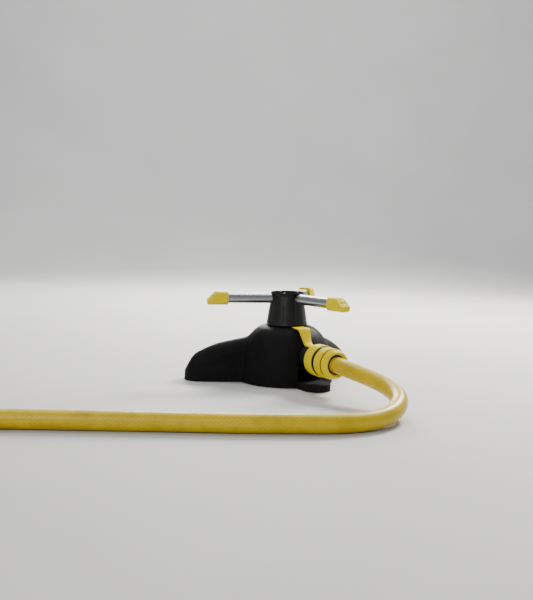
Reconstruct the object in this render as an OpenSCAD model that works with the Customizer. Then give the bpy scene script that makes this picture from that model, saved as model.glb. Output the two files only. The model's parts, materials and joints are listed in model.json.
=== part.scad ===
// Rotary lawn sprinkler with three arms, an arched base, a quick coupling and a leader hose.
// Units are millimetres. +Z is up along the rotor's axis, the ground is z = 0,
// and the water inlet points along -Y.

/* [Rotor] */
// Radius of the circle that the nozzle tips follow
arm_reach = 106; // [100:1:112]
// Height of the arm axes above the ground
arm_z = 108.7; // [108:0.1:108.8]
// Angle of the first arm from +X
arm_phase = 43; // [0:1:119]
// Outer radius of an arm tube
tube_r = 6.5; // [6:0.1:6.5]
// Width and height of a nozzle cap
nozzle_w = 17.2; // [16:0.2:18]
// Length of a nozzle cap along its arm
nozzle_len = 26; // [23:0.5:28]
// Radius of the hub at its bottom edge
hub_bottom_r = 27.2; // [26:0.1:27.6]
// Radius of the hub's lip
lip_r = 22.2; // [21:0.1:22.6]

/* [Base] */
// Radius of the dome at the ground
dome_r = 62; // [61:0.5:64]
// Distance from the axis to the tip of a tall leg
leg_reach = 134; // [126:1:142]
// Half the width of a tall leg
leg_half_w = 21; // [19:0.5:23]
// Distance from the axis to the tip of the front foot
foot_reach = 96; // [90:1:104]
// Wall thickness of the moulded base
wall = 2.5; // [2:0.1:3]
// Height of the inlet's axis above the ground
inlet_z = 38.8; // [38:0.2:39.2]
// Outer radius of the inlet collar
collar_r = 20; // [19:0.5:20.5]

/* [Hose] */
// Outer diameter of the hose
hose_d = 20; // [18:0.5:20]
// Radius of the coil at the middle of the hose
coil_r = 105; // [100:1:110]

/* [Hidden] */
$fn = 48;
eps = 0.01;

// colours
black = [0.07, 0.07, 0.075];
yellow = [0.86, 0.76, 0.08];
alu = [0.78, 0.79, 0.80];
steel = [0.62, 0.63, 0.65];
acetal = [0.85, 0.84, 0.80];
rubber = [0.12, 0.12, 0.12];

// ---------------------------------------------------------------- base
leg_angles = [25, 155];
leg_end = leg_reach - leg_half_w;
leg_draft = 2.5;
crown = 19;
neck_r = 17;
blend = 5;
inlet_neck_r = 13;
notch_r = inlet_neck_r + 1.2;
edge_r = 56;
edge_z = 34;

// height of the dome against radius, and its inverse for the steep wall
dome_curve = [[neck_r, 73], [28, 73], [31, 72.6], [37, 70.4], [41, 67.4], [45, 63.6], [48.5, 59.2],
    [51.6, 54.2], [54, 50.3], [edge_r, 46], [58, 40], [60, 25], [dome_r, 0]];
// height of a leg's ridge against distance from the axis
ridge_curve = [[0, 62], [43, 59.5], [51, 57.4], [60, 55.3], [70, 53], [82, 50.3], [91, 47.7],
    [99, 44.7], [106, 41.6], [113, 38], [119, 34.5], [124, 29.5], [129, 20.5], [leg_reach, 11]];
function flipped(t) = [for (i = [len(t) - 1:-1:0]) [t[i][1], t[i][0]]];
function dome_z(r) = lookup(r, dome_curve);
function dome_at(z) = z > 72.9 ? 28 : lookup(z, [for (p = flipped(dome_curve)) if (p[1] >= 28) p]);
function smax(a, b, k) = let (h = max(k - abs(a - b), 0) / k) max(a, b) + h * h * k / 4;

// polar outline of a leg of half width a: a radial bar with a round end
function leg_edge(phi, a, far) = let (p = abs(phi))
    p >= 90 ? 0 :
    far * sin(p) < a && p < atan(a / far) ?
        far * cos(p) + sqrt(a * a - pow(far * sin(p), 2)) :
        a / sin(p);
function off(th, leg) = let (d = (th - leg + 540) % 360 - 180) d;
function legs_edge(th, a) = max([for (l = leg_angles) leg_edge(off(th, l), a, leg_end)]);
function outline(th, z, inset) =
    max(dome_at(z) - inset, legs_edge(th, leg_half_w - inset - leg_draft * z / 40));

// height of the outer skin at a point
function leg_z(r, th, leg) = let (d = off(th, leg), u = r * cos(d), v = r * sin(d))
    u <= 0 ? 0 : lookup(u, ridge_curve) - min(crown, lookup(u, ridge_curve) - 10) * pow(v / leg_half_w, 2);
function skin_z(r, th) = smax(dome_z(r), max([for (l = leg_angles) leg_z(r, th, l)]), blend);

// the arch over the inlet: the rim's height at the front, and 0 elsewhere
function rim_z(th) = let (x = 57 * cos(th))
    sin(th) > 0 || abs(x) > notch_r ? 0 : inlet_z + sqrt(notch_r * notch_r - x * x);

top_steps = 9;
wall_steps = 5;
function edge_at(th, inset) = let (rz = rim_z(th))
    rz > 0 ? min(edge_r, dome_at(rz + 1)) - inset : outline(th, edge_z, inset);
function skin_ring(th, inset) = let (re = edge_at(th, inset))
    [for (i = [0:top_steps]) let (r = neck_r + (re - neck_r) * i / top_steps)
        [r, skin_z(r + inset * i / top_steps, th) - (inset > 0 ? inset : 0)]];
function wall_ring(th, inset) =
    let (top = skin_z(edge_at(th, 0), th) - inset, rz = rim_z(th), re = edge_at(th, inset))
    [for (i = [1:wall_steps]) let (z = top + (rz - top) * i / wall_steps)
        [max(re, rz > 0 ? dome_at(z) - inset : outline(th, z, inset)), z]];
function reversed(t) = [for (i = [len(t) - 1:-1:0]) t[i]];
function section(th) = concat(skin_ring(th, 0), wall_ring(th, 0),
    reversed(wall_ring(th, wall)), reversed(skin_ring(th, wall)));

// angles of the sections, closer together over the legs and the arch
leg_steps = [-25, -22.5, -20, -17.5, -15, -12.5, -10.5, -9.3, -8.6, -7.5, -5, -2.5, 0,
    2.5, 5, 7.5, 8.6, 9.3, 10.5, 12.5, 15, 17.5, 20, 22.5, 25];
shell_angles = concat([for (a = leg_steps) leg_angles[0] + a], [for (a = [57:7:127]) a],
    [for (a = leg_steps) leg_angles[1] + a], [for (a = [188:8:236]) a], [240, 245, 249],
    [for (i = [-5:5]) 270 + asin(i * (notch_r - 0.05) / 5 / 57)], [291, 295, 300],
    [for (a = [304:8:352]) a]);

// a closed skin from a ring of sections, all with the same number of points
module ring_skin(sections) {
    n = len(sections);
    m = len(sections[0]);
    points = [for (s = sections) for (p = s) p];
    faces = [for (i = [0:n - 1]) for (j = [0:m - 1]) let (i2 = (i + 1) % n, j2 = (j + 1) % m)
        each [[i * m + j, i2 * m + j, i2 * m + j2], [i * m + j, i2 * m + j2, i * m + j2]]];
    polyhedron(points, faces, convexity = 8);
}

module base_shell() {
    color(black)
        ring_skin([for (th = reversed(shell_angles)) [for (p = section(th)) [p[0] * cos(th), p[0] * sin(th), p[1]]]]);
}

cover_t = 2.2;
cover_gap = wall + 0.8;
module radial_bar(angle, half_w, reach) {
    rotate([0, 0, angle]) {
        translate([0, -half_w]) square([reach - half_w, 2 * half_w]);
        translate([reach - half_w, 0]) circle(half_w);
    }
}

foot_half_w = 18;
foot_z = 9;
screw_sites = [for (a = [90, 200, 340]) [28 * cos(a), 28 * sin(a)]];
screw_r = 1.75;
screw_head_r = 3.4;

module bottom_cover() {
    color(black) difference() {
        union() {
            linear_extrude(cover_t) {
                circle(dome_r - cover_gap);
                for (a = leg_angles) radial_bar(a, leg_half_w - cover_gap, leg_reach - cover_gap);
            }
            linear_extrude(foot_z) difference() {
                radial_bar(270, foot_half_w, foot_reach);
                circle(48);
            }
        }
        for (p = screw_sites) translate([p[0], p[1], -eps]) {
            cylinder(r = screw_r + 0.15, h = cover_t + 1);
            cylinder(r1 = screw_head_r, r2 = screw_r, h = 1.7);
        }
    }
}

module cover_screws() {
    color(steel) for (p = screw_sites) translate([p[0], p[1], 0.1]) {
        cylinder(r1 = screw_head_r - 0.1, r2 = screw_r - 0.1, h = 1.6);
        cylinder(r = screw_r, h = 14);
    }
}

// ---------------------------------------------------------------- water path
pipe_r = 13;
pipe_bore = 7;
inlet_pipe_r = 12;
inlet_bore = 6.2;
riser_top = 78;
spindle_r = 8;
spindle_foot = 60;
inlet_start = 74;
neck_start = 49;
web_z = 19;

// a ring about +Z from z0 to z1
module ring(r_in, r_out, z0, z1) {
    translate([0, 0, z0]) difference() {
        cylinder(r = r_out, h = z1 - z0);
        translate([0, 0, -1]) cylinder(r = r_in, h = z1 - z0 + 2);
    }
}

// places a shape made about +Z on the inlet's axis, with z = 0 at y = -at, pointing along -Y
module on_inlet(at) {
    translate([0, -at, inlet_z]) rotate([90, 0, 0]) children();
}

module water_channel() {
    color(black) difference() {
        union() {
            translate([0, 0, web_z + 1]) cylinder(r = pipe_r, h = riser_top - web_z - 1);
            on_inlet(0) cylinder(r = inlet_pipe_r, h = neck_start + 1);
            on_inlet(neck_start) cylinder(r = inlet_neck_r, h = inlet_start - neck_start);
            translate([0, 0, web_z]) cylinder(r = 33, h = 3.5);
            for (p = screw_sites) translate([p[0], p[1], cover_t]) cylinder(r = 4.5, h = web_z - cover_t + 1);
        }
        translate([0, 0, inlet_z]) cylinder(r = pipe_bore, h = riser_top);
        translate([0, 0, spindle_foot]) cylinder(r = spindle_r, h = riser_top);
        translate([0, 0, 63]) cylinder(r = 10, h = 2.4);
        on_inlet(0) cylinder(r = inlet_bore, h = inlet_start + 10);
        for (p = screw_sites) translate([p[0], p[1], -eps]) cylinder(r = screw_r, h = 16);
    }
}

module dome_nut() {
    color(black) ring(pipe_r, 19, 73.2, 77.9);
}

module spindle_seal() {
    color(rubber) ring(spindle_r, 10, 63, 65.4);
}

// heights up the rotor's axis
shoulder_z = 110;
bush_z = 110.7;
washer_z = 112.8;
nut_z = 113.6;
manifold_top = 115.4;
top_journal_r = 6;

module spindle() {
    color(steel) difference() {
        union() {
            translate([0, 0, spindle_foot]) cylinder(r = spindle_r, h = shoulder_z - spindle_foot);
            cylinder_between(top_journal_r, shoulder_z - eps, nut_z + 1.4);
        }
        translate([0, 0, spindle_foot - 1]) cylinder(r = 5.5, h = 49.5);
        for (a = [0, 120, 240]) rotate([0, 0, a + 17]) translate([0, 0, 106]) rotate([0, 90, 0])
            cylinder(r = 2.6, h = 12);
    }
}

module cylinder_between(r, z0, z1) {
    translate([0, 0, z0]) cylinder(r = r, h = z1 - z0);
}

module thrust_washer() {
    color(acetal) ring(spindle_r, 12.5, 78.1, 79.6);
}

module top_washer() {
    color(acetal) ring(top_journal_r, 9.6, washer_z, nut_z);
}

module retaining_nut() {
    color(steel) difference() {
        translate([0, 0, nut_z]) cylinder(r = 9, h = 1.2, $fn = 6);
        translate([0, 0, nut_z - 1]) cylinder(r = top_journal_r, h = 4);
    }
}

// strap and collar
collar_start = 76;
collar_end = 95;
collar_edge = 0.8;
strap_side = [[28.2, 73.3], [31, 73.1], [34, 72.2], [43.6, 71.9], [45, 70.4], [47.4, 66], [50.2, 61],
    [52.8, 56.8], [54.6, 53.4], [55.2, 52.3], [collar_start + 1, 52.3], [collar_start + 1, 54.6],
    [61, 54.6], [57.5, 56], [47, 73], [45.5, 73.9], [28.2, 73.9]];
strap_front = [[-5, 45], [5, 45], [8.6, 75], [-8.6, 75]];

module inlet_collar() {
    color(yellow) difference() {
        union() {
            on_inlet(inlet_start) cylinder(r = inlet_neck_r, h = collar_start - inlet_start + 1);
            on_inlet(collar_start) cylinder(r = collar_r, h = collar_end - collar_start - collar_edge);
            on_inlet(collar_end - collar_edge) cylinder(r1 = collar_r, r2 = collar_r - collar_edge, h = collar_edge);
            intersection() {
                rotate([90, 0, -90]) translate([0, 0, -20]) linear_extrude(40) polygon(strap_side);
                rotate([90, 0, 0]) linear_extrude(100) polygon(strap_front);
            }
        }
        on_inlet(50) cylinder(r = 11, h = 60);
    }
}

flange_r = 18.8;
flange_end = collar_end + 3;
nose_r = 8.5;
near_at = flange_end + 0.4;
nose_end = near_at + 15;
thread_start = inlet_start + 2;
module inlet_spigot() {
    color(black) difference() {
        union() {
            on_inlet(thread_start) cylinder(r = 11, h = collar_end - thread_start);
            on_inlet(collar_end) cylinder(r = flange_r, h = flange_end - collar_end);
            on_inlet(flange_end - 1) cylinder(r = nose_r, h = nose_end - flange_end + 1);
        }
        on_inlet(thread_start - 1) cylinder(r = 5.5, h = 50);
        on_inlet(0) ring(nose_r - 1, nose_r + 2, near_at + 3.4, near_at + 8.6);
    }
}

module inlet_seal() {
    color(rubber) on_inlet(0) ring(inlet_bore, 10.5, inlet_start, thread_start);
}

// ---------------------------------------------------------------- rotor
housing_z0 = 74.2;
hub_top = 117;
chamber_r = 9.5;
top_jet_at = 13.5;
cap_z = 115.9;
arm_ring_t = 0.6;

module on_arm(i) {
    rotate([0, 0, arm_phase + 120 * (i - 1)]) translate([0, 0, arm_z]) rotate([0, 90, 0]) children();
}

module rotor_housing() {
    top_r = 20.4;
    color(black) difference() {
        rotate_extrude() polygon([[hub_bottom_r - 2.2, housing_z0], [hub_bottom_r, housing_z0],
            [hub_bottom_r, housing_z0 + 1], [top_r, hub_top - 2.6], [lip_r - 0.4, hub_top - 2.3],
            [lip_r, hub_top - 1.9], [lip_r, hub_top - 0.5], [lip_r - 0.5, hub_top], [19.4, hub_top],
            [19.4, cap_z - 0.1], [18, cap_z - 0.4], [18, cap_z - 2]]);
        for (i = [1:3]) on_arm(i) cylinder(r = tube_r + 0.1, h = 40);
    }
}

// places a shape made about +Z at the three upright jets, between the arms
module at_top_jets() {
    for (i = [1:3]) rotate([0, 0, arm_phase + 120 * i + 60]) translate([top_jet_at, 0, 0]) children();
}

module rotor_cap() {
    color(black) difference() {
        cylinder_between(19.2, cap_z, cap_z + 1);
        at_top_jets() cylinder_between(0.7, cap_z - 1, cap_z + 2);
    }
}

module rotor_manifold() {
    color(acetal) difference() {
        union() {
            cylinder_between(13, 79.9, 103);
            cylinder_between(17.4, 101, manifold_top);
        }
        cylinder_between(11, 79, 93.2);
        cylinder_between(chamber_r, 93, bush_z);
        cylinder_between(10.5, bush_z - eps, manifold_top + 1);
        for (i = [1:3]) on_arm(i) {
            cylinder(r = tube_r, h = 30);
            translate([0, 0, 12.5]) cylinder(r = tube_r + arm_ring_t, h = 2);
        }
        at_top_jets() {
            cylinder_between(1, 107.5, manifold_top + 1);
            translate([0, 0, 108.5]) rotate([0, -90, 0]) cylinder(r = 0.9, h = 6);
        }
    }
}

module lower_bush() {
    color(acetal) ring(spindle_r + 0.06, 11, 80, 90);
}

module upper_bush() {
    color(acetal) ring(top_journal_r + 0.06, 10.5, bush_z, bush_z + 1.8);
}

module rotor_seal() {
    color(rubber) ring(spindle_r + 0.06, 11, 90.2, 93);
}

tube_end = arm_reach - 12.6;
module arm_tube(i) {
    color(alu) on_arm(i) ring(tube_r - 1, tube_r, 10.4, tube_end);
}

module arm_o_rings() {
    color(rubber) for (i = [1:3]) on_arm(i) ring(tube_r, tube_r + arm_ring_t, 12.5, 14.5);
}

// ---------------------------------------------------------------- nozzles
nozzle_start = arm_reach - nozzle_len;
face_x = arm_reach - 5.5;
face_z = nozzle_w / 2 - 5.5;
plate_w = 10.8;
cap_corner = 5;

module rounded_square(w, r) {
    square([w - 2 * r, w], center = true);
    square([w, w - 2 * r], center = true);
    for (x = [-1, 1]) for (y = [-1, 1]) translate([x * (w / 2 - r), y * (w / 2 - r)]) circle(r);
}

// the frame of an arm with x along the arm and z up
module along_arm(i) {
    rotate([0, 0, arm_phase + 120 * (i - 1)]) translate([0, 0, arm_z]) children();
}

// the frame of the slanted jet face, with z out of the face
module at_face() {
    translate([face_x, 0, face_z]) rotate([0, 45, 0]) children();
}

module nozzle_cap(i) {
    color(yellow) along_arm(i) difference() {
        translate([nozzle_start, 0, 0]) rotate([90, 0, 90])
            linear_extrude(nozzle_len) rounded_square(nozzle_w, cap_corner);
        at_face() translate([-25, -25, 0]) cube([50, 50, 40]);
        at_face() translate([-plate_w / 2, -plate_w / 2, -1.5]) cube([plate_w, plate_w, 3]);
        rotate([0, 90, 0]) cylinder(r = tube_r + 0.06, h = tube_end + 0.4);
        rotate([0, 90, 0]) cylinder(r = 4.5, h = arm_reach - 6.5);
        rotate([0, 90, 0]) translate([0, 0, nozzle_start + 4]) cylinder(r = tube_r + 1.26, h = 2);
    }
}

module jet_plate(i) {
    color(yellow) along_arm(i) at_face() difference() {
        translate([-plate_w / 2, -plate_w / 2, -1.5]) cube([plate_w, plate_w, 1.2]);
        for (y = [-3, 0, 3]) translate([0, y, -2]) cylinder(r = 0.8, h = 3);
    }
}

module nozzle_o_ring(i) {
    color(rubber) on_arm(i) ring(tube_r + 0.06, tube_r + 1.26, nozzle_start + 4, nozzle_start + 6);
}

// ---------------------------------------------------------------- quick couplings
// Made about +Z with the mouth at z = 0 and the hose leaving along +Z.
socket_r = nose_r + 0.1;
socket_end = 16;
hose_start = 18.5;
coupling_len = 27;
body_r = 13.6;
shoulder_r = 15;
shoulder_z0 = 15;
mouth_r = 13.7;
lip_in_r = 12.4;

module coupling_body() {
    color(black) difference() {
        union() {
            cylinder_between(body_r, 0.8, shoulder_z0 + 0.5);
            cylinder_between(shoulder_r, shoulder_z0, hose_start);
        }
        cylinder_between(socket_r, 0, socket_end);
        cylinder_between(5, 0, 40);
        cylinder_between(socket_r + 2.5, 11.2, 13.8);
        translate([-20, -2.5, 3.6]) cube([40, 5, 4.8]);
    }
}

module coupling_claws() {
    color(acetal) for (s = [0, 180]) rotate([0, 0, s]) translate([8.9, -2.3, 3.8]) cube([4.6, 4.6, 4.4]);
}

module coupling_seal() {
    color(rubber) ring(socket_r + 0.1, socket_r + 2.5, 11.2, 13.8);
}

module coupling_sleeve() {
    color(yellow) rotate_extrude() polygon([[14, 0.4], [18, 0.4], [19, 1.6], [19, 15], [17.6, 15],
        [17.6, 8.5], [14, 8.5]]);
}

module coupling_nut() {
    color(yellow) rotate_extrude() polygon([[shoulder_r, 15.6], [17.2, 15.6], [17.2, 18.6], [18.6, 18.6],
        [18.6, 20], [17.6, 25], [16.8, coupling_len - 0.6], [16.2, coupling_len], [mouth_r, coupling_len],
        [mouth_r, 24.3], [lip_in_r, 24], [lip_in_r, 22.2], [13.4, 22.2], [13.4, 18.8], [shoulder_r, 18.8]]);
}

// a split ring that the nut squeezes onto the hose
module coupling_collet() {
    color(black) difference() {
        union() {
            cylinder_between(13.1, 18.9, 21.9);
            cylinder_between(lip_in_r - 0.3, 18.9, 24);
        }
        cylinder_between(hose_d / 2, 18, 25);
        translate([-0.5, 0, 18]) cube([1, 20, 7]);
    }
}

module near() {
    on_inlet(near_at) children();
}

// the hose's coil and the coupling on its far end
coil_x = -540;
coil_y = -170;
hose_r = hose_d / 2;
far_x = coil_x - coil_r;
far_z = 19;
far_mouth = -370;
module far() {
    translate([far_x, far_mouth, far_z]) rotate([-90, 0, 0]) children();
}

// ---------------------------------------------------------------- hose
// Centre line from inside the nut to the coil. The last point is the coil's first.
run_route = [[0, -near_at - hose_start, inlet_z], [0, -near_at - coupling_len, inlet_z], [0.8, -140, 37.7],
    [4, -158, 35.4], [9.5, -176, 32], [14, -195, 28.4], [13.5, -215, 25], [8.5, -234.5, 21.8], [-1.5, -252, 18.6], [-15.5, -266, 15.4],
    [-32.5, -276.5, 12.7], [-51.5, -282.5, 10.8], [-71.5, -284, 10], [-91, -281.5, 10], [-110.5, -275.5, 10],
    [-130, -266.5, 10], [-180, -243, 10], [-225, -219, 10], [-275, -192, 10], [-330, -163, 10],
    [-385, -134, 10], [-437, -107, 10], [coil_x + coil_r / 2, coil_y + coil_r * sin(60), 10]];
// Centre line from the top of the coil to the far nut
tail_route = [[far_x, coil_y, 30], [far_x, -200, 29.6], [far_x, -235, 27.5], [far_x, -270, 23],
    [far_x, -303, 20], [far_x, far_mouth + hose_start, far_z]];

function unit(v) = v / norm(v);
function tangent(pts, i) = unit(pts[min(i + 1, len(pts) - 1)] - pts[max(i - 1, 0)]);
hose_sides = 10;
function hose_ring(c, t) = let (u = unit(cross([0, 0, 1], t)), w = cross(t, u))
    [for (k = [0:hose_sides - 1]) let (a = 360 * (k + 0.5) / hose_sides)
        c + hose_r * (cos(a) * u + sin(a) * w)];

// a tube swept along the points, with flat ends facing along first and last
module swept(pts, first, last) {
    n = len(pts);
    m = hose_sides;
    rings = [for (i = [0:n - 1]) hose_ring(pts[i], i == 0 ? first : i == n - 1 ? last : tangent(pts, i))];
    polyhedron([for (r = rings) for (p = r) p], concat(
        [[for (k = [0:m - 1]) k]],
        [for (i = [0:n - 2]) for (k = [0:m - 1]) let (k2 = (k + 1) % m)
            each [[i * m + k, (i + 1) * m + k2, i * m + k2], [i * m + k, (i + 1) * m + k, (i + 1) * m + k2]]],
        [[for (k = [m - 1:-1:0]) (n - 1) * m + k]]), convexity = 6);
}

module hose_run() {
    color(yellow) swept(run_route, [0, -1, 0], [-sin(60), 0.5, 0]);
}

module hose_tail() {
    color(yellow) swept(tail_route, [0, -1, 0], [0, -1, 0]);
}

// the outer shape of the coil, two turns high
module hose_coil() {
    color(yellow) translate([coil_x, coil_y, 0]) rotate_extrude() translate([coil_r, 0])
        polygon([[-hose_r, 3], [-hose_r + 3, 0], [hose_r - 3, 0], [hose_r, 3], [hose_r, 2 * hose_d - 3],
            [hose_r - 3, 2 * hose_d], [-hose_r + 3, 2 * hose_d], [-hose_r, 2 * hose_d - 3]]);
}

base_shell();
bottom_cover();
cover_screws();
water_channel();
dome_nut();
inlet_collar();
inlet_spigot();
inlet_seal();
spindle();
spindle_seal();
thrust_washer();
top_washer();
retaining_nut();
rotor_housing();
rotor_cap();
rotor_manifold();
lower_bush();
upper_bush();
rotor_seal();
for (i = [1:3]) {
    arm_tube(i);
    nozzle_cap(i);
    jet_plate(i);
    nozzle_o_ring(i);
}
arm_o_rings();
near() coupling_body();  // near_body
near() coupling_claws();  // near_claws
near() coupling_seal();  // near_seal
near() coupling_sleeve();  // near_sleeve
near() coupling_nut();  // near_nut
near() coupling_collet();  // near_collet
hose_run();
hose_coil();
hose_tail();
far() coupling_body();  // far_body
far() coupling_claws();  // far_claws
far() coupling_seal();  // far_seal
far() coupling_sleeve();  // far_sleeve
far() coupling_nut();  // far_nut
far() coupling_collet();  // far_collet
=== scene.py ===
"""A three-arm lawn sprinkler with a quick coupling and a leader hose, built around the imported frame.

Shapes are written in millimetres, and MM turns them into the row frame's metres. The row frame has +Z up
along the rotor's axis and the inlet along -Y.
"""

import json
import math

import bmesh
import bpy
from mathutils import Matrix, Vector


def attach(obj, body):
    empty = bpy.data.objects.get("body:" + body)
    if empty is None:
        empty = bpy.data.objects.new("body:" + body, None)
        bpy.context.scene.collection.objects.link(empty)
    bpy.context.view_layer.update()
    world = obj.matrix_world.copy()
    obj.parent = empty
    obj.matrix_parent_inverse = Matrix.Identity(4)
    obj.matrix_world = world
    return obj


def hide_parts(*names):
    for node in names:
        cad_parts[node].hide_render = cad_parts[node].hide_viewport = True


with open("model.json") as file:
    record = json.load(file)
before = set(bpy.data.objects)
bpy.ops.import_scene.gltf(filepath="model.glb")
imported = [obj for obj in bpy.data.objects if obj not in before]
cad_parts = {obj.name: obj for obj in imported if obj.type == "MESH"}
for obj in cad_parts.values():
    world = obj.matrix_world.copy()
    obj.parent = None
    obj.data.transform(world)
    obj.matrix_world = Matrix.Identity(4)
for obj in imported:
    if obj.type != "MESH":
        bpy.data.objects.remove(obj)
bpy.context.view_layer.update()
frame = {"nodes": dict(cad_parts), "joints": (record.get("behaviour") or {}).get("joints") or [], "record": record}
MM = 0.001
JOINTS = {j["name"]: j for j in frame["joints"]}


# ------------------------------------------------------------------ mesh helpers
def link(obj):
    bpy.context.scene.collection.objects.link(obj)
    return obj


def mesh_piece(name, verts, faces, material, sharp_deg=38, place=Matrix.Identity(4)):
    """A smooth-shaded mesh from points in millimetres, with edges sharper than sharp_deg kept crisp."""
    mesh = bpy.data.meshes.new(name)
    mesh.from_pydata([place @ (Vector(v) * MM) for v in verts], [], faces)
    mesh.validate()
    tidy_normals(mesh)
    mesh.materials.append(material)
    for poly in mesh.polygons:
        poly.use_smooth = True
    mesh.set_sharp_from_angle(angle=math.radians(sharp_deg))
    return link(bpy.data.objects.new(name, mesh))


def tidy_normals(mesh):
    bm = bmesh.new()
    bm.from_mesh(mesh)
    bmesh.ops.recalc_face_normals(bm, faces=bm.faces)
    bm.to_mesh(mesh)
    bm.free()


def smooth_table(x, table):
    """Value at x of a table of (x, value) points, in rising x, read as a smooth curve through them."""
    n = len(table)
    if x <= table[0][0]:
        return table[0][1]
    if x >= table[-1][0]:
        return table[-1][1]
    i = max(k for k in range(n - 1) if table[k][0] <= x)

    def slope(k):
        if k == 0 or k == n - 1:
            a, b = (0, 1) if k == 0 else (n - 2, n - 1)
            return (table[b][1] - table[a][1]) / (table[b][0] - table[a][0])
        left = (table[k][1] - table[k - 1][1]) / (table[k][0] - table[k - 1][0])
        right = (table[k + 1][1] - table[k][1]) / (table[k + 1][0] - table[k][0])
        if left * right <= 0:
            return 0.0
        return 2 * left * right / (left + right)

    (x0, y0), (x1, y1) = table[i], table[i + 1]
    h = x1 - x0
    t = (x - x0) / h
    return ((2 * t ** 3 - 3 * t ** 2 + 1) * y0 + (t ** 3 - 2 * t ** 2 + t) * h * slope(i)
            + (3 * t ** 2 - 2 * t ** 3) * y1 + (t ** 3 - t ** 2) * h * slope(i + 1))


def rounded(points, steps=4):
    """A closed outline of (x, y, corner radius) with each corner turned into an arc-like curve."""
    out = []
    n = len(points)
    for i, (x, y, r) in enumerate(points):
        here = Vector((x, y))
        before = Vector(points[i - 1][:2]) - here
        after = Vector(points[(i + 1) % n][:2]) - here
        r = min(r, before.length * 0.49, after.length * 0.49)
        if r < 1e-4:
            out.append(here)
            continue
        a, b = here + before.normalized() * r, here + after.normalized() * r
        for k in range(steps + 1):
            t = k / steps
            out.append(a * (1 - t) ** 2 + here * 2 * t * (1 - t) + b * t ** 2)
    return [(p.x, p.y) for p in out]


def ring_faces(rows, cols, close_rows=True):
    faces = []
    for i in range(rows if close_rows else rows - 1):
        j = (i + 1) % rows
        for k in range(cols):
            m = (k + 1) % cols
            faces.append((i * cols + k, j * cols + k, j * cols + m, i * cols + m))
    return faces


def revolve(name, outline, material, place=Matrix.Identity(4), segments=120, shape=None, sharp_deg=38):
    """A closed (radius, height) outline turned about +Z. shape(r, z, angle) may move a point's radius."""
    verts = []
    for i in range(segments):
        a = 2 * math.pi * i / segments
        for r, z in outline:
            q = shape(r, z, a) if shape else r
            verts.append((q * math.cos(a), q * math.sin(a), z))
    return mesh_piece(name, verts, ring_faces(segments, len(outline)), material, sharp_deg, place)


# ------------------------------------------------------------------ materials
def node_material(name):
    mat = bpy.data.materials.new(name)
    mat.use_nodes = True
    tree = mat.node_tree
    return mat, tree, tree.nodes["Principled BSDF"]


def add_noise(tree, coords, scale, detail=4.0, roughness=0.55):
    noise = tree.nodes.new("ShaderNodeTexNoise")
    noise.inputs["Scale"].default_value = scale
    noise.inputs["Detail"].default_value = detail
    noise.inputs["Roughness"].default_value = roughness
    tree.links.new(coords, noise.inputs["Vector"])
    return noise.outputs["Fac"]


def add_ramp(tree, fac, stops):
    ramp = tree.nodes.new("ShaderNodeValToRGB")
    elements = ramp.color_ramp.elements
    while len(elements) < len(stops):
        elements.new(0.5)
    for element, (pos, color) in zip(elements, stops):
        element.position = pos
        element.color = (*color, 1.0) if len(color) == 3 else color
    tree.links.new(fac, ramp.inputs["Fac"])
    return ramp.outputs["Color"]


def add_range(tree, fac, low, high):
    node = tree.nodes.new("ShaderNodeMapRange")
    node.inputs["From Min"].default_value = 0.3
    node.inputs["From Max"].default_value = 0.7
    node.inputs["To Min"].default_value = low
    node.inputs["To Max"].default_value = high
    tree.links.new(fac, node.inputs["Value"])
    return node.outputs["Result"]


def add_bump(tree, shader, heights):
    """Chains bumps of (height output, strength, distance) into the shader's normal."""
    normal = None
    for fac, strength, distance in heights:
        bump = tree.nodes.new("ShaderNodeBump")
        bump.inputs["Strength"].default_value = strength
        bump.inputs["Distance"].default_value = distance
        tree.links.new(fac, bump.inputs["Height"])
        if normal:
            tree.links.new(normal, bump.inputs["Normal"])
        normal = bump.outputs["Normal"]
    tree.links.new(normal, shader.inputs["Normal"])


def object_coords(tree):
    return tree.nodes.new("ShaderNodeTexCoord").outputs["Object"]


def moulded_plastic(name, dark, light, rough, grain=0.12, subsurface=0.0, worn=None, specular=0.5):
    """Satin moulded plastic: cloudy colour, fine eroded grain, uneven gloss and pale worn edges."""
    mat, tree, shader = node_material(name)
    coords = object_coords(tree)
    cloud = add_noise(tree, coords, 45, 5)
    color = add_ramp(tree, cloud, [(0.32, dark), (0.68, light)])
    if worn:
        geometry = tree.nodes.new("ShaderNodeNewGeometry")
        edge = add_ramp(tree, geometry.outputs["Pointiness"], [(0.53, (0, 0, 0)), (0.62, (1, 1, 1))])
        patch = add_ramp(tree, add_noise(tree, coords, 700, 5), [(0.48, (0, 0, 0)), (0.70, (0.8, 0.8, 0.8))])
        both = tree.nodes.new("ShaderNodeMix")
        both.data_type = "RGBA"
        both.blend_type = "MULTIPLY"
        both.inputs["Factor"].default_value = 1.0
        tree.links.new(edge, both.inputs["A"])
        tree.links.new(patch, both.inputs["B"])
        mix = tree.nodes.new("ShaderNodeMix")
        mix.data_type = "RGBA"
        tree.links.new(both.outputs["Result"], mix.inputs["Factor"])
        tree.links.new(color, mix.inputs["A"])
        mix.inputs["B"].default_value = (*worn, 1.0)
        color = mix.outputs["Result"]
    tree.links.new(color, shader.inputs["Base Color"])
    gloss = add_noise(tree, coords, 130, 6, 0.6)
    tree.links.new(add_range(tree, gloss, rough - 0.06, rough + 0.09), shader.inputs["Roughness"])
    shader.inputs["Specular IOR Level"].default_value = specular
    if subsurface:
        shader.inputs["Subsurface Weight"].default_value = subsurface
        shader.inputs["Subsurface Radius"].default_value = (0.004, 0.003, 0.001)
        shader.inputs["Subsurface Scale"].default_value = 0.5
    add_bump(tree, shader, [(add_noise(tree, coords, 2600, 3), grain, 0.00012),
                            (add_noise(tree, coords, 90, 3), 0.05, 0.0006)])
    return mat


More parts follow.
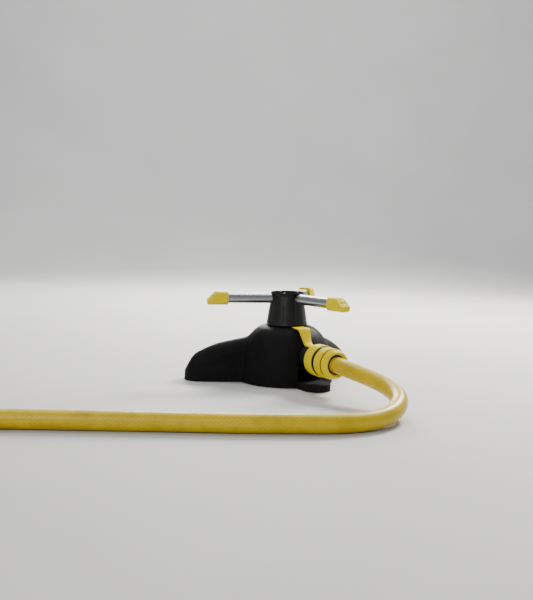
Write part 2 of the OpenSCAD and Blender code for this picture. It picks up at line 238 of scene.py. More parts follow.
def brushed_metal(name, color, rough, angle=None, scratch=0.25):
    """Metal with fine lines along a direction in the floor plane, or turned lines about +Z without one."""
    mat, tree, shader = node_material(name)
    mapping = tree.nodes.new("ShaderNodeMapping")
    mapping.vector_type = "POINT"
    if angle is not None:
        mapping.inputs["Rotation"].default_value = (0, 0, -angle)
        mapping.inputs["Scale"].default_value = (5, 2200, 2200)
    else:
        mapping.inputs["Scale"].default_value = (60, 60, 1500)
    tree.links.new(object_coords(tree), mapping.inputs["Vector"])
    lines = add_noise(tree, mapping.outputs["Vector"], 1.0, 6, 0.65)
    tint = add_ramp(tree, lines, [(0.3, [c * 0.80 for c in color]), (0.7, color)])
    tree.links.new(tint, shader.inputs["Base Color"])
    shader.inputs["Metallic"].default_value = 1.0
    tree.links.new(add_range(tree, lines, rough - 0.08, rough + 0.12), shader.inputs["Roughness"])
    add_bump(tree, shader, [(lines, scratch, 0.00008)])
    return mat


def soft_rubber(name, color):
    mat, tree, shader = node_material(name)
    coords = object_coords(tree)
    tone = add_ramp(tree, add_noise(tree, coords, 200, 5), [(0.3, [c * 0.6 for c in color]), (0.7, color)])
    tree.links.new(tone, shader.inputs["Base Color"])
    shader.inputs["Roughness"].default_value = 0.8
    add_bump(tree, shader, [(add_noise(tree, coords, 1800, 4), 0.3, 0.0001)])
    return mat


BLACK_TONES = (0.0055, 0.0057, 0.0062), (0.0085, 0.0088, 0.0095)
WORN_BLACK = (0.022, 0.023, 0.025)
BLACK = moulded_plastic("black_plastic", *BLACK_TONES, 0.42, 0.22, worn=WORN_BLACK, specular=0.30)
MATT_BLACK = moulded_plastic("matt_black_plastic", *BLACK_TONES, 0.75, 0.30, specular=0.0)
BASE_BLACK = moulded_plastic("base_black_plastic", *BLACK_TONES, 0.54, 0.22, worn=WORN_BLACK, specular=0.06)
YELLOW = moulded_plastic("yellow_plastic", (0.76, 0.59, 0.0), (0.84, 0.66, 0.0), 0.40, 0.14, 0.0,
                         worn=(0.88, 0.72, 0.02), specular=0.06)
ACETAL = moulded_plastic("acetal", (0.66, 0.65, 0.60), (0.76, 0.75, 0.70), 0.32, 0.06, 0.08)
STEEL = brushed_metal("steel", (0.62, 0.62, 0.64), 0.28)
RUBBER = soft_rubber("rubber", (0.022, 0.022, 0.023))
ALUMINIUM = [brushed_metal("arm_aluminium_%d" % i, (0.46, 0.47, 0.50), 0.26,
                           math.atan2(*reversed(JOINTS["nozzle_%d_twist" % i]["axis"][:2])))
             for i in (1, 2, 3)]


# ------------------------------------------------------------------ camera
CAMERA_AZIMUTH = math.radians(-30)
CAMERA_ELEVATION = math.radians(5.3)
CAMERA_ROLL = math.radians(1.5)
CAMERA_DISTANCE = 1.2
PIXELS_PER_MM = 0.757
TARGET_Z = 0.1095
IMAGE_HEIGHT, SENSOR_HEIGHT = 600, 36
# where the target on the hub's axis sits in the frame, from the frame's centre, in frame heights
FRAME_SHIFT = (-0.035, -0.004)


def make_camera():
    back = Vector((math.sin(CAMERA_AZIMUTH) * math.cos(CAMERA_ELEVATION),
                   -math.cos(CAMERA_AZIMUTH) * math.cos(CAMERA_ELEVATION), math.sin(CAMERA_ELEVATION)))
    data = bpy.data.cameras.new("camera")
    data.sensor_fit = "VERTICAL"
    data.sensor_height = SENSOR_HEIGHT
    data.lens = PIXELS_PER_MM * CAMERA_DISTANCE / MM / IMAGE_HEIGHT * SENSOR_HEIGHT
    data.shift_x, data.shift_y = FRAME_SHIFT
    camera = link(bpy.data.objects.new("camera", data))
    camera.matrix_world = (Matrix.Translation(Vector((0, 0, TARGET_Z)) + back * CAMERA_DISTANCE)
                           @ back.to_track_quat("Z", "Y").to_matrix().to_4x4()
                           @ Matrix.Rotation(CAMERA_ROLL, 4, "Z"))
    bpy.context.scene.camera = camera


make_camera()


# ------------------------------------------------------------------ hose
HOSE_D = 20.0
COIL_X, COIL_Y, COIL_R = -540.0, -170.0, 105.0
FAR_NUT_Y = -351.5
NEAR_HOSE_Y = -116.9
INLET_Z = 38.8
FAR_X, FAR_Z = COIL_X - COIL_R, 19.0
NEAR_MOUTH_Y = -125.4
RUN = [(0, NEAR_HOSE_Y, INLET_Z), (0, NEAR_MOUTH_Y, INLET_Z), (0.8, -140, 37.7), (4, -158, 35.4),
       (9.5, -176, 32), (14, -195, 28.4),
       (13.5, -215, 25), (8.5, -234.5, 21.8), (-1.5, -252, 18.6), (-15.5, -266, 15.4), (-32.5, -276.5, 12.7),
       (-51.5, -282.5, 10.8), (-71.5, -284, 10), (-91, -281.5, 10), (-110.5, -275.5, 10), (-130, -266.5, 10),
       (-180, -243, 10), (-225, -219, 10), (-275, -192, 10), (-330, -163, 10),
       (-385, -134, 10), (-437, -107, 10)]
TAIL = [(FAR_X, -200, 29.6), (FAR_X, -235, 27.5), (FAR_X, -270, 23), (FAR_X, -303, 20),
        (FAR_X, FAR_NUT_Y, FAR_Z)]


def coil_points():
    """One turn on the floor and a third of a turn on top of it, from the run's side to the far side."""
    points = []
    steps = 40
    for i in range(steps + 1):
        beta = -30 + 480 * i / steps
        climb = min(max((beta - 250) / 80, 0), 1)
        z = HOSE_D / 2 + HOSE_D * (3 * climb ** 2 - 2 * climb ** 3)
        a = math.radians(beta)
        points.append((COIL_X - COIL_R * math.sin(a), COIL_Y + COIL_R * math.cos(a), z))
    return points


def catmull(points, per_span):
    """A smooth curve through the points, evenly divided in each span."""
    p = [Vector(q) for q in points]
    p = [p[0] * 2 - p[1]] + p + [p[-1] * 2 - p[-2]]
    out = []
    for i in range(1, len(p) - 2):
        # tangents weighted by the spans' lengths, so that a short span beside a long one stays smooth
        m0 = (p[i + 1] - p[i - 1]) * ((p[i + 1] - p[i]).length / ((p[i + 1] - p[i]).length
                                                                 + (p[i] - p[i - 1]).length))
        m1 = (p[i + 2] - p[i]) * ((p[i + 1] - p[i]).length / ((p[i + 2] - p[i + 1]).length
                                                              + (p[i + 1] - p[i]).length))
        for k in range(per_span):
            t = k / per_span
            out.append((2 * t ** 3 - 3 * t ** 2 + 1) * p[i] + (t ** 3 - 2 * t ** 2 + t) * m0
                       + (3 * t ** 2 - 2 * t ** 3) * p[i + 1] + (t ** 3 - t ** 2) * m1)
    out.append(p[-2])
    return out


def tube_piece(name, path, radius, material, sides=32):
    """A closed tube along the path, with UV lengths in metres for its material."""
    verts = []
    n = len(path)
    up = Vector((0, 0, 1))
    frames = []
    for i in range(n):
        along = (path[min(i + 1, n - 1)] - path[max(i - 1, 0)]).normalized()
        side = up.cross(along).normalized()
        frames.append((side, along.cross(side)))
    for point, (u, w) in zip(path, frames):
        for k in range(sides):
            a = 2 * math.pi * k / sides
            verts.append(point + radius * (math.cos(a) * u + math.sin(a) * w))
    faces = ring_faces(n, sides, close_rows=False)
    faces += [tuple(range(sides)), tuple(range(n * sides - 1, (n - 1) * sides - 1, -1))]
    obj = mesh_piece(name, verts, faces, material, 60)
    layer = obj.data.uv_layers.new(name="UVMap")
    lengths = [0.0]
    for a, b in zip(path, path[1:]):
        lengths.append(lengths[-1] + (b - a).length * MM)
    for poly in obj.data.polygons:
        ks = [v % sides for v in poly.vertices]
        wraps = 0 in ks and sides - 1 in ks
        for loop, v in zip(poly.loop_indices, poly.vertices):
            k = v % sides
            k = sides if wraps and k == 0 else k
            layer.data[loop].uv = (lengths[v // sides], 2 * math.pi * radius * MM * k / sides)
    return obj


def hose_material():
    """Smooth yellow hose: a braid that shows through faintly, scuffs and dull gloss."""
    mat, tree, shader = node_material("hose_yellow")
    uv = tree.nodes.new("ShaderNodeTexCoord").outputs["UV"]
    coords = object_coords(tree)
    braid = []
    for turn in (0.9, -0.9):
        mapping = tree.nodes.new("ShaderNodeMapping")
        mapping.inputs["Rotation"].default_value = (0, 0, turn)
        tree.links.new(uv, mapping.inputs["Vector"])
        wave = tree.nodes.new("ShaderNodeTexWave")
        wave.inputs["Scale"].default_value = 95
        wave.inputs["Distortion"].default_value = 0.3
        tree.links.new(mapping.outputs["Vector"], wave.inputs["Vector"])
        braid.append(wave.outputs["Fac"])
    weave = tree.nodes.new("ShaderNodeMath")
    weave.operation = "MAXIMUM"
    tree.links.new(braid[0], weave.inputs[0])
    tree.links.new(braid[1], weave.inputs[1])
    base = add_ramp(tree, weave.outputs["Value"], [(0.45, (0.60, 0.42, 0.0)), (1.0, (0.68, 0.49, 0.0))])
    scuff = add_ramp(tree, add_noise(tree, coords, 35, 8, 0.65),
                     [(0.36, (0.45, 0.34, 0.05)), (0.56, (1, 1, 1))])
    mix = tree.nodes.new("ShaderNodeMix")
    mix.data_type = "RGBA"
    mix.blend_type = "MULTIPLY"
    mix.inputs["Factor"].default_value = 0.35
    tree.links.new(base, mix.inputs["A"])
    tree.links.new(scuff, mix.inputs["B"])
    tree.links.new(mix.outputs["Result"], shader.inputs["Base Color"])
    tree.links.new(add_range(tree, add_noise(tree, coords, 70, 6), 0.30, 0.46), shader.inputs["Roughness"])
    shader.inputs["Specular IOR Level"].default_value = 0.25
    shader.inputs["Coat Weight"].default_value = 0.15
    shader.inputs["Coat Roughness"].default_value = 0.22
    add_bump(tree, shader, [(weave.outputs["Value"], 0.10, 0.00015),
                            (add_noise(tree, coords, 1400, 3), 0.10, 0.0001)])
    return mat


HOSE = hose_material()


def make_hose():
    points = [Vector(p) for p in RUN + coil_points() + TAIL]
    path = catmull(points, 6)
    hose = tube_piece("garden_hose", path, HOSE_D / 2, HOSE)
    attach(hose, "base")
    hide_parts("hose_run", "hose_coil", "hose_tail")
    return hose, [p * MM for p in path]


hose, hose_path = make_hose()

# ------------------------------------------------------------------ materials on the CAD nodes
SLOT_MATERIALS = {"black_plastic": BLACK, "yellow_plastic": YELLOW, "steel": STEEL, "acetal": ACETAL,
                  "rubber": RUBBER, "arm_aluminium": ALUMINIUM[0], "hose_yellow": HOSE}


def dress_nodes():
    slots = {s["node"]: s["material_slot"] for s in frame["record"]["subparts"]}
    for name, node in frame["nodes"].items():
        material = SLOT_MATERIALS[slots[name]]
        if name.startswith("arm_tube_"):
            material = ALUMINIUM[int(name[-1]) - 1]
        if name == "bottom_cover":
            material = BASE_BLACK
        node.data.materials.clear()
        node.data.materials.append(material)


dress_nodes()


# ------------------------------------------------------------------ piece helpers
def apply_modifiers(obj):
    """Bakes the object's modifiers into its mesh."""
    graph = bpy.context.evaluated_depsgraph_get()
    mesh = bpy.data.meshes.new_from_object(obj.evaluated_get(graph))
    obj.modifiers.clear()
    obj.data = mesh


def cut(obj, *cutters):
    """Takes the cutters out of the object and deletes them."""
    for cutter in cutters:
        mod = obj.modifiers.new("cut", "BOOLEAN")
        mod.operation = "DIFFERENCE"
        mod.solver = "EXACT"
        mod.object = cutter
    bpy.context.view_layer.update()
    apply_modifiers(obj)
    for cutter in cutters:
        bpy.data.objects.remove(cutter)
    return obj


def soften(obj, width, segments=3, angle=32):
    """Rounds the object's sharp edges, with width in millimetres."""
    mod = obj.modifiers.new("round", "BEVEL")
    mod.width = width * MM
    mod.segments = segments
    mod.limit_method = "ANGLE"
    mod.angle_limit = math.radians(angle)
    mod.use_clamp_overlap = True
    bpy.context.view_layer.update()
    apply_modifiers(obj)
    for poly in obj.data.polygons:
        poly.use_smooth = True
    obj.data.set_sharp_from_angle(angle=math.radians(40))
    return obj


def prism(name, outline, low, high, material, place=Matrix.Identity(4)):
    """A closed outline in x and y, from z low to z high."""
    n = len(outline)
    verts = [(x, y, low) for x, y in outline] + [(x, y, high) for x, y in outline]
    faces = [(k, (k + 1) % n, n + (k + 1) % n, n + k) for k in range(n)]
    faces += [tuple(range(n - 1, -1, -1)), tuple(range(n, 2 * n))]
    return mesh_piece(name, verts, faces, material, 38, place)


def circle_outline(radius, sides=24):
    return [(radius * math.cos(2 * math.pi * k / sides), radius * math.sin(2 * math.pi * k / sides))
            for k in range(sides)]


def box_outline(w, h, corner):
    return rounded([(-w / 2, -h / 2, corner), (w / 2, -h / 2, corner), (w / 2, h / 2, corner),
                    (-w / 2, h / 2, corner)], 5)


def finish_piece(obj, body, slot, *nodes):
    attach(obj, body)
    if nodes:
        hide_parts(*nodes)


# ------------------------------------------------------------------ base casting
DOME_R, LEG_REACH, LEG_HALF_W = 62.0, 134.0, 21.0
LEG_ANGLES = (25, 155)
WALL, NECK_R, EDGE_R, EDGE_Z = 2.5, 17.0, 56.0, 34.0
CROWN, BLEND, DRAFT = 19.0, 5.0, 2.5
# radius of the arch over the inlet, and the distance from the axis at which its width is true
NOTCH_R, ARCH_AT = 14.2, 57.0
DOME = [(NECK_R, 73), (28, 73), (31, 72.6), (37, 70.4), (41, 67.4), (45, 63.6), (48.5, 59.2), (51.6, 54.2),
        (54, 50.3), (EDGE_R, 46), (58, 40), (60, 25), (DOME_R, 0)]
RIDGE = [(0, 62), (43, 59.5), (51, 57.4), (60, 55.3), (70, 53), (82, 50.3), (91, 47.7), (99, 44.7),
         (106, 41.6), (113, 38), (119, 34.5), (124, 29.5), (129, 20.5), (LEG_REACH, 11)]
SIDE = [(z, r) for r, z in reversed(DOME) if r >= 28]


def smax(a, b, k):
    h = max(k - abs(a - b), 0) / k
    return max(a, b) + h * h * k / 4


def leg_edge(off, half_w):
    """Distance from the axis to a leg's side or round end, along a line off degrees from the leg."""
    far = LEG_REACH - LEG_HALF_W
    p = math.radians(abs(off))
    if p >= math.pi / 2:
        return 0.0
    if far * math.sin(p) < half_w and p < math.atan(half_w / far):
        return far * math.cos(p) + math.sqrt(half_w ** 2 - (far * math.sin(p)) ** 2)
    return half_w / math.sin(p)


def leg_off(angle, leg):
    return (angle - leg + 540) % 360 - 180


def skirt(angle, z, inset):
    """Radius of the steep wall at a height."""
    side = smooth_table(z, SIDE) - inset
    legs = max(leg_edge(leg_off(angle, leg), LEG_HALF_W - inset - DRAFT * z / 40) for leg in LEG_ANGLES)
    return smax(side, legs, 3.0) if abs(side - legs) < 3.0 else max(side, legs)


def skin_z(r, angle):
    """Height of the rounded top at a point."""
    legs = 0.0
    for leg in LEG_ANGLES:
        off = math.radians(leg_off(angle, leg))
        u, v = r * math.cos(off), r * math.sin(off)
        if u > 0:
            ridge = smooth_table(u, RIDGE)
            legs = max(legs, ridge - min(CROWN, ridge - 10) * (v / LEG_HALF_W) ** 2)
    return smax(smooth_table(r, DOME), legs, BLEND)


def arch_z(angle):
    """Height of the rim over the inlet, and 0 elsewhere."""
    x = ARCH_AT * math.cos(math.radians(angle))
    if math.sin(math.radians(angle)) > 0 or abs(x) >= NOTCH_R:
        return 0.0
    return INLET_Z + math.sqrt(NOTCH_R ** 2 - x * x)


def casting_section(angle):
    """The outline of the casting's wall in the half plane at an angle, as (radius, height)."""
    rim = arch_z(angle)
    sides = []
    for inset in (0.0, WALL):
        edge = min(EDGE_R, smooth_table(rim + 1, SIDE)) - inset if rim > 0 else skirt(angle, EDGE_Z, inset)
        edge_top = skin_z(edge + inset, angle) - inset
        fillet = 2.6 if inset == 0 and rim == 0 else 0.8
        top, top_steps, wall_steps = [], 26, 14
        for i in range(top_steps + 1):
            r = NECK_R + (edge - fillet - NECK_R) * i / top_steps
            top.append((r, skin_z(r + inset * i / top_steps, angle) - inset))
        wall = []
        start = edge_top - fillet
        for i in range(wall_steps + 1):
            z = start + (rim - start) * i / wall_steps
            r = smooth_table(z, SIDE) - inset if rim > 0 else max(edge - 0.5, skirt(angle, z, inset))
            wall.append((max(r, edge - 0.2), z))
        corner = []
        for t in (0.25, 0.5, 0.75):
            a, b, c = Vector(top[-1]), Vector((edge, edge_top)), Vector(wall[0])
            q = a * (1 - t) ** 2 + b * 2 * t * (1 - t) + c * t ** 2
            corner.append((q.x, q.y))
        sides.append(top + corner + wall)
    return sides[0] + sides[1][::-1]


def casting_angles():
    """Directions of the sections, closest over the legs' sides and the arch."""
    angles = []
    a = 0.0
    while a < 359.99:
        angles.append(a)
        near_leg = min(abs(leg_off(a, leg)) for leg in LEG_ANGLES)
        a += 0.8 if near_leg < 24 else 2.0
    half_arch = math.degrees(math.asin((NOTCH_R - 0.02) / ARCH_AT))
    angles = [a for a in angles if abs(a - 270) > half_arch + 0.8]
    steps = 24
    angles += [270 + math.degrees(math.asin((NOTCH_R - 0.02) / ARCH_AT * math.sin(math.pi / 2 * i / steps)))
               for i in range(-steps, steps + 1)]
    angles += [270 - half_arch - 0.25, 270 + half_arch + 0.25]
    return sorted(angles)


def make_casting():
    verts = []
    angles = casting_angles()
    for angle in angles:
        a = math.radians(angle)
        section = casting_section(angle)
        verts += [(r * math.cos(a), r * math.sin(a), z) for r, z in section]
    obj = mesh_piece("base_casting", verts, ring_faces(len(angles), len(section)), BASE_BLACK, 42)
    finish_piece(obj, "base", "black_plastic", "base_shell")


# ------------------------------------------------------------------ hub
HUB_BOTTOM_R, HUB_TOP_R, LIP_R, HUB_TOP, HUB_Z0 = 27.2, 20.4, 22.2, 117.0, 74.2
CAP_Z, TOP_JET_AT = 115.9, 13.5
ARM_Z, TUBE_R = 108.7, 6.5
ARM_ANGLES = [math.atan2(*reversed(JOINTS["nozzle_%d_twist" % i]["axis"][:2])) for i in (1, 2, 3)]


def hub_shape(r, z, a):
    """Raised pads under the arms and a narrow raised band midway between them, faded out at the rims."""
    if r < HUB_TOP_R - 0.5 or z < HUB_Z0 + 2.2 or z > HUB_TOP - 3.2:
        return r
    off = abs((math.degrees(a - ARM_ANGLES[0]) + 60) % 120 - 60)
    fade = max(0.0, min((z - HUB_Z0 - 2.2) / 1.2, (HUB_TOP - 3.2 - z) / 1.2, 1.0))
    raised = max(min(max((16.0 - off) / 1.5, 0.0), 1.0), min(max((off - 54.5) / 1.2, 0.0), 1.0))
    return r - 0.6 * fade * (1 - raised)


def make_hub():
    inner = HUB_BOTTOM_R - 2.2
    outline = [(inner, HUB_Z0, 0.3), (HUB_BOTTOM_R, HUB_Z0, 0.8)]
    steps = 36
    for i in range(1, steps):
        t = i / steps
        bulge = 0.35 * math.sin(math.pi * t)
        outline.append((HUB_BOTTOM_R + (HUB_TOP_R - HUB_BOTTOM_R) * t + bulge,
                        HUB_Z0 + (HUB_TOP - 2.6 - HUB_Z0) * t, 0))
    outline += [(HUB_TOP_R, HUB_TOP - 2.8, 1.0), (LIP_R, HUB_TOP - 2.0, 0.5), (LIP_R, HUB_TOP, 0.7),
                (19.4, HUB_TOP, 0.4), (19.4, CAP_Z - 0.1, 0), (18, CAP_Z - 0.4, 0), (18, CAP_Z - 2, 0)]
    hub = revolve("hub_housing", rounded(outline), BLACK, segments=480, shape=hub_shape)
    # the lip's top face is matt like the cap inside it
    hub.data.materials.append(MATT_BLACK)
    for poly in hub.data.polygons:
        if poly.normal.z > 0.8 and poly.center.z > (CAP_Z + 0.5) * MM:
            poly.material_index = 1
    finish_piece(hub, "rotor", "black_plastic", "rotor_housing")
    for i, angle in enumerate(ARM_ANGLES, 1):
        place = (Matrix.Translation((0, 0, ARM_Z * MM)) @ Matrix.Rotation(angle, 4, "Z")
                 @ Matrix.Rotation(math.pi / 2, 4, "Y"))
        outline = [(TUBE_R + 0.02, 18.4, 0), (TUBE_R + 0.9, 18.4, 0), (TUBE_R + 0.7, 21.6, 0.4),
                   (TUBE_R + 0.02, 21.6, 0.2)]
        boss = revolve("arm_boss_%d" % i, rounded(outline), BLACK, place, 64)
        finish_piece(boss, "rotor", "black_plastic")


def make_hub_cap():
    """A shallow dished cap with a rim, three upright jet nipples and a plain centre plug."""
    outline = rounded([(0.01, CAP_Z, 0), (19.2, CAP_Z, 0.2), (19.2, CAP_Z + 0.9, 0.3), (17.6, CAP_Z + 0.9, 0.3),
                       (17.0, CAP_Z + 0.5, 0.3), (7.2, CAP_Z + 0.5, 0.2), (6.6, CAP_Z + 0.9, 0.3),
                       (0.01, CAP_Z + 1.0, 0)])
    cap = revolve("hub_cap", outline, MATT_BLACK, segments=160)
    finish_piece(cap, "rotor", "black_plastic", "rotor_cap")
    for i, angle in enumerate(ARM_ANGLES, 1):
        a = angle + math.pi
        place = Matrix.Translation((TOP_JET_AT * MM * math.cos(a), TOP_JET_AT * MM * math.sin(a), 0))
        nipple = revolve("top_jet_%d" % i, rounded([(0.7, CAP_Z + 0.2, 0), (2.1, CAP_Z + 0.2, 0),
                                                    (1.7, CAP_Z + 1.1, 0.3), (0.7, CAP_Z + 1.1, 0.15)]),
                         BLACK, place, 32)
        finish_piece(nipple, "rotor", "black_plastic")


# ------------------------------------------------------------------ nozzles
ARM_REACH, NOZZLE_LEN, NOZZLE_W = 106.0, 26.0, 17.2
FACE_X, FACE_Z, FACE_PLATE = ARM_REACH - 5.5, NOZZLE_W / 2 - 5.5, 10.8
JET_PLACES = (-3, 0, 3)


def make_nozzle(i):
    """A moulded cap with a slanted jet face and a recessed plate of three jets."""
    arm = Matrix.Translation((0, 0, ARM_Z * MM)) @ Matrix.Rotation(ARM_ANGLES[i - 1], 4, "Z")
    face = arm @ Matrix.Translation((FACE_X * MM, 0, FACE_Z * MM)) @ Matrix.Rotation(math.radians(45), 4, "Y")
    along = arm @ Matrix(((0, 0, 1, 0), (1, 0, 0, 0), (0, 1, 0, 0), (0, 0, 0, 1)))
    start = ARM_REACH - NOZZLE_LEN
    cap = prism("nozzle_body_%d" % i, box_outline(NOZZLE_W, NOZZLE_W, 5.2), start, ARM_REACH, YELLOW, along)
    cap = cut(cap, prism("slant", box_outline(60, 60, 0), 0, 60, YELLOW, face))
    cap = soften(cap, 1.1, 4, 40)
    recess = prism("recess", box_outline(FACE_PLATE, FACE_PLATE, 1.0), -1.5, 5, YELLOW, face)
    bore = prism("bore", circle_outline(TUBE_R + 0.1, 48), start - 5, start + 9, YELLOW, along)
    cap = soften(cut(cap, recess, bore), 0.22, 2, 50)
    body = "nozzle_%d" % i
    finish_piece(cap, body, "yellow_plastic", "nozzle_cap_%d" % i)
    plate = prism("jet_insert_%d" % i, box_outline(FACE_PLATE - 0.3, FACE_PLATE - 0.3, 0.9), -1.45, -0.25,
                  YELLOW, face)
    jets = [prism("jet", circle_outline(0.75, 20), -3, 3, YELLOW, face @ Matrix.Translation((0, y * MM, 0)))
            for y in JET_PLACES]
    plate = soften(cut(plate, *jets), 0.18, 2, 50)
    finish_piece(plate, body, "yellow_plastic", "jet_plate_%d" % i)
    for k, y in enumerate(JET_PLACES, 1):
        spout = revolve("jet_ring_%d_%d" % (i, k),
                        rounded([(0.75, -0.6, 0), (1.45, -0.6, 0), (1.15, 0.35, 0.15), (0.75, 0.35, 0.1)]),
                        YELLOW, face @ Matrix.Translation((0, y * MM, 0)), 28)
        finish_piece(spout, body, "yellow_plastic")


# ------------------------------------------------------------------ inlet
COLLAR_R, COLLAR_START, COLLAR_END = 20.0, 76.0, 95.0
COLLAR_NECK_R, COLLAR_BORE, INLET_START = 13.0, 11.0, 74.0
# height and half width of the strap, at its foot and at its top
STRAP_LOW, STRAP_HIGH = (54.0, 5.0), (74.0, 8.6)


def on_inlet(at):
    """Places a shape made about +Z on the inlet's axis, starting at y = -at and pointing along -Y."""
    return Matrix.Translation((0, -at * MM, INLET_Z * MM)) @ Matrix.Rotation(math.pi / 2, 4, "X")


def make_collar():
    outline = rounded([(COLLAR_BORE, INLET_START, 0), (COLLAR_NECK_R, INLET_START, 0),
                       (COLLAR_NECK_R, COLLAR_START + 0.3, 0.5),
                       (COLLAR_R - 2.6, COLLAR_START + 0.3, 1.2), (COLLAR_R - 0.4, COLLAR_START + 2.0, 1.4),
                       (COLLAR_R, COLLAR_START + 6, 2), (COLLAR_R, COLLAR_END - 2, 2),
                       (COLLAR_R - 0.1, COLLAR_END, 0.7), (14.2, COLLAR_END, 0.4),
                       (13.2, COLLAR_END - 1, 0), (COLLAR_BORE, COLLAR_END - 1, 0)], 5)
    collar = revolve("inlet_collar_body", outline, YELLOW, on_inlet(0), 160)
    finish_piece(collar, "base", "yellow_plastic", "inlet_collar")


def make_strap():
    """The strap follows the dome's front from under the hub to the collar and narrows on its way down."""
    outer = [(28.2, 73.9), (36, 73.9), (43, 73.9), (45.2, 73.7), (46.4, 72.9), (47.4, 71.3), (49.6, 66.6),
             (52.4, 61.8), (55, 58.2), (57.4, 56), (61, 54.8), (66, 54.6), (77, 54.6)]
    inner = [(28.2, 73.3), (31, 73.1), (34, 72.3), (40, 72.0), (43.6, 71.7), (45, 70.2), (47.2, 66.2),
             (50, 61), (52.6, 56.8), (54.2, 54.2), (56, 52.6), (62, 52.3), (77, 52.3)]
    verts, rows = [], len(outer)
    across = 12
    for (ro, zo), (ri, zi) in zip(outer, inner):
        up = min(max((zo - STRAP_LOW[0]) / (STRAP_HIGH[0] - STRAP_LOW[0]), 0), 1)
        half = STRAP_LOW[1] + (STRAP_HIGH[1] - STRAP_LOW[1]) * up
        depth = (Vector((ro, zo)) - Vector((ri, zi))).length
        soft = min(0.9, depth * 0.3)
        ring = rounded([(-half, 0, soft), (half, 0, soft), (half, depth, soft), (-half, depth, soft)], 2)
        for x, d in ring:
            t = d / depth
            verts.append((x, -(ri + (ro - ri) * t), zi + (zo - zi) * t))
    assert len(verts) == rows * across
    faces = ring_faces(rows, across, close_rows=False)
    faces += [tuple(range(across)), tuple(range(rows * across - 1, (rows - 1) * across - 1, -1))]
    strap = mesh_piece("inlet_strap", verts, faces, YELLOW, 44)
    finish_piece(strap, "base", "yellow_plastic")


# ------------------------------------------------------------------ couplings
COUPLING_LEN = 27.0
SHOULDER_R, MOUTH_R = 15.0, 13.7


def sleeve_shape(r, z, a):
    """Fine grip ribs round the sleeve's outside."""
    if r < 18.4 or z < 3.4 or z > 13.6:
        return r
    fade = min((z - 3.4) / 1.0, (13.6 - z) / 1.0, 1)
    return r - 0.45 * fade * max(0.0, math.cos(a * 36)) ** 2


def nut_shape(r, z, a):
    """Broad finger scallops along the nut, faded out at both ends."""
    if z < 19.6 or z > COUPLING_LEN - 1.6 or r < 15.5:
        return r
    fade = min((z - 19.6) / 1.6, (COUPLING_LEN - 1.6 - z) / 1.6, 1)
    return r - 0.6 * fade * max(0.0, math.cos(a * 12)) ** 1.5


def make_coupling(side, place, sleeve_body):
    sleeve = [(14, 0.4, 0.3), (17.6, 0.4, 0.4), (18.8, 1.5, 0.6), (19, 3.2, 0.2)]
    sleeve += [(19, 3.4 + 0.5 * k, 0) for k in range(0, 21)]
    sleeve += [(19, 15, 0.5), (17.6, 15, 0.3), (17.6, 8.5, 0.2), (14, 8.5, 0.2)]
    sleeve_obj = revolve(side + "_release_sleeve", rounded(sleeve, 3), YELLOW, place, 432, sleeve_shape)
    finish_piece(sleeve_obj, sleeve_body, "yellow_plastic", side + "_sleeve")
    nut = [(SHOULDER_R, 15.6, 0.2), (17.2, 15.6, 0.2), (17.2, 18.6, 0.2), (18.5, 18.6, 0.4)]
    nut += [(18.55 - 0.25 * k / 2 - 0.0155 * k * k, 19.6 + 0.6 * k, 0) for k in range(1, 11)]
    nut += [(16.2, COUPLING_LEN - 0.7, 0.8), (15.4, COUPLING_LEN, 0.5), (MOUTH_R, COUPLING_LEN, 0.4),
            (MOUTH_R, 24.3, 0.3), (12.4, 24, 0.2), (12.4, 22.2, 0), (13.4, 22.2, 0), (13.4, 18.8, 0),
            (SHOULDER_R, 18.8, 0)]
    nut_obj = revolve(side + "_hose_nut", rounded(nut, 3), YELLOW, place, 240, nut_shape)
    finish_piece(nut_obj, "base", "yellow_plastic", side + "_nut")
    return sleeve_obj, nut_obj


make_casting()
make_hub()
make_hub_cap()
for arm_number in (1, 2, 3):
    make_nozzle(arm_number)
make_collar()
make_strap()
NEAR_AT, FAR_MOUTH_Y = 98.4, -370.0
make_coupling("near", on_inlet(NEAR_AT), "near_release")
far_place = (Matrix.Translation((FAR_X * MM, FAR_MOUTH_Y * MM, FAR_Z * MM))
             @ Matrix.Rotation(-math.pi / 2, 4, "X"))
far_pieces = make_coupling("far", far_place, "far_release")


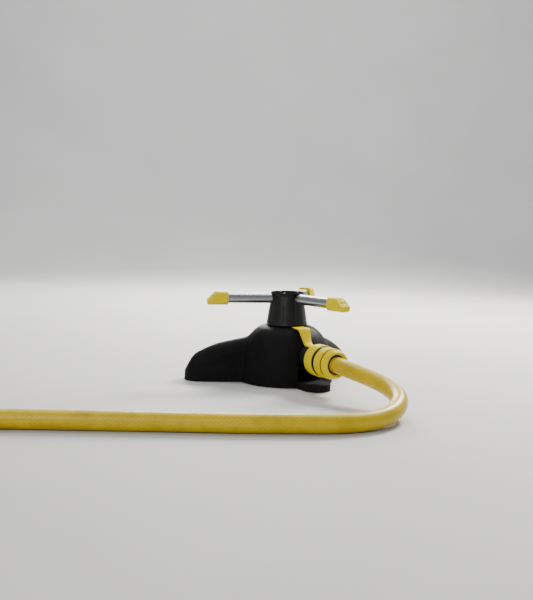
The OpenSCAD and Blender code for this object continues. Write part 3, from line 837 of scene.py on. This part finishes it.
# ------------------------------------------------------------------ floor and light
def make_studio():
    """A pale floor that curves up into a wall behind the sprinkler, well outside the view's near part."""
    floor_z, reach, start, bend, steps = -0.3, 6000, 1500, 1600, 24
    profile = [(-reach, floor_z), (start, floor_z)]
    for i in range(1, steps + 1):
        a = math.pi / 2 * i / steps
        profile.append((start + bend * math.sin(a), floor_z + bend * (1 - math.cos(a))))
    profile.append((start + bend, reach))
    turn = Matrix.Rotation(CAMERA_AZIMUTH, 3, "Z")
    verts = []
    for side in (-reach, reach):
        for along, z in profile:
            verts.append(turn @ Vector((side, along, z)))
    n = len(profile)
    faces = [(k, k + 1, n + k + 1, n + k) for k in range(n - 1)]
    sweep = mesh_piece("studio_sweep", verts, faces, floor_material(), 60)
    world = bpy.data.worlds.new("world")
    world.use_nodes = True
    background = world.node_tree.nodes["Background"]
    background.inputs["Color"].default_value = (0.93, 0.96, 1.0, 1)
    background.inputs["Strength"].default_value = 0.36
    bpy.context.scene.world = world
    area_light("key", (1.1, 0.45, 1.0), 0.4, 46, (1.0, 0.97, 0.91))
    area_light("rim", (0.55, 1.35, 0.8), 0.6, 24, (1.0, 0.98, 0.95))
    area_light("fill", (-1.3, -1.0, 0.9), 1.0, 11, (1.0, 0.99, 0.97))
    area_light("wall", (0.2, 0.9, 2.5), 2.2, 75, (1, 1, 1), (1.4, 2.5, 0.7))


def floor_material():
    mat, tree, shader = node_material("pale_floor")
    tone = add_ramp(tree, add_noise(tree, object_coords(tree), 3, 3),
                    [(0.3, (0.55, 0.55, 0.54)), (0.7, (0.59, 0.59, 0.58))])
    tree.links.new(tone, shader.inputs["Base Color"])
    shader.inputs["Roughness"].default_value = 0.7
    return mat


def area_light(name, place, size, power, color, aim=(0, 0, 0.05)):
    data = bpy.data.lights.new(name, "AREA")
    data.size = size
    data.energy = power
    data.color = color
    light = link(bpy.data.objects.new(name, data))
    towards = Vector(aim) - Vector(place)
    light.matrix_world = Matrix.Translation(place) @ towards.to_track_quat("-Z", "Y").to_matrix().to_4x4()


make_studio()
